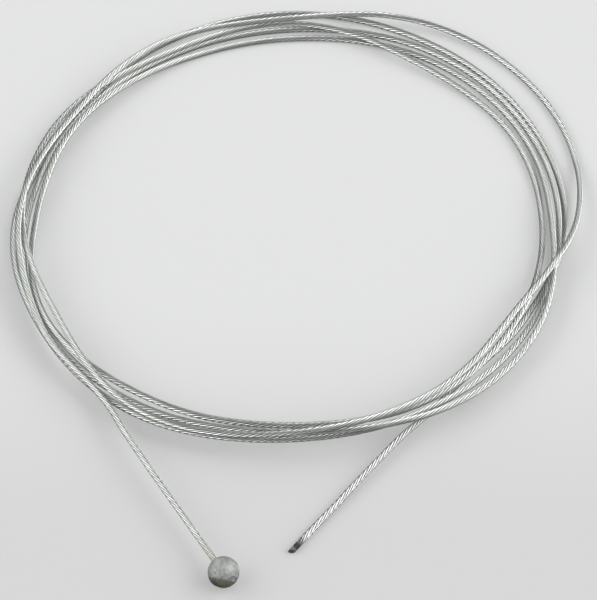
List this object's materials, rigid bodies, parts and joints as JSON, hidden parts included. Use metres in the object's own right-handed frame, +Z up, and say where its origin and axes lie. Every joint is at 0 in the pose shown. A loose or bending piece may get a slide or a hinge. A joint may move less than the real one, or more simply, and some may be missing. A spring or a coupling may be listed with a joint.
{
  "type": "inner cable",
  "caption": "Inner brake cable for a bicycle: a steel wire rope lying as a loose coil, with a cast ball nipple on one end and a bare cut end on the other.",
  "frame": {"origin": "on the surface that the cable lies on, under the middle of the box round the whole cable", "axes": "+Z up; -Y is the side that both ends of the cable reach towards, where the nipple is; +X is to the right when looking along +Y"},
  "size_m": [0.1374, 0.1789, 0.008],
  "materials": {
    "galvanised_steel": "satin galvanised wire, with a heat-darkened cut tip",
    "cast_zinc": "matte cast zinc, mottled"
  },
  "bodies": {
    "root": {"wire_rope": "galvanised_steel", "nipple": "cast_zinc"}
  },
  "joints": []
}
